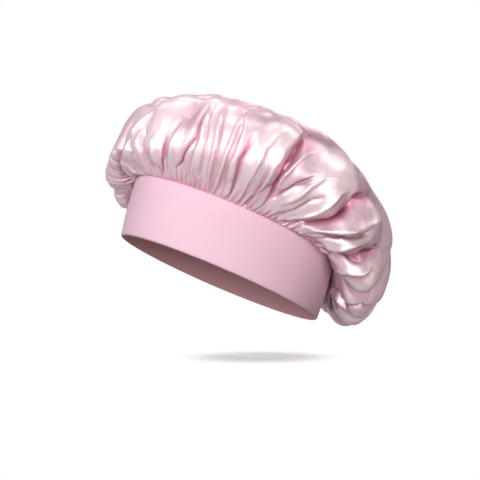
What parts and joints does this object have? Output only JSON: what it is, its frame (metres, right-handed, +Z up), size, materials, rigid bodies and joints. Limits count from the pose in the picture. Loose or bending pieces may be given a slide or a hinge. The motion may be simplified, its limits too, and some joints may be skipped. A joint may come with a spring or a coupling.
{
  "type": "hair bonnet",
  "caption": "Satin hair bonnet: a full, loosely gathered crown with long folds, sewn to a smooth folded stretch-knit headband with an oval opening.",
  "frame": {"origin": "centre of the footprint of the whole bonnet, on the surface that the band's bottom fold stands on", "axes": "+Z up through the crown, -Y towards the forehead, +Y towards the nape, +X towards the side that the picture shows"},
  "size_m": [0.2304, 0.2931, 0.163],
  "materials": {
    "satin": "glossy pale pink polyester satin with a soft sheen",
    "knit": "smooth matte pink stretch knit",
    "thread": "matte pink sewing thread"
  },
  "bodies": {
    "root": {"satin_crown": "satin", "knit_band": "knit", "overlock_thread": "thread", "nape_join_thread": "thread"}
  },
  "joints": []
}
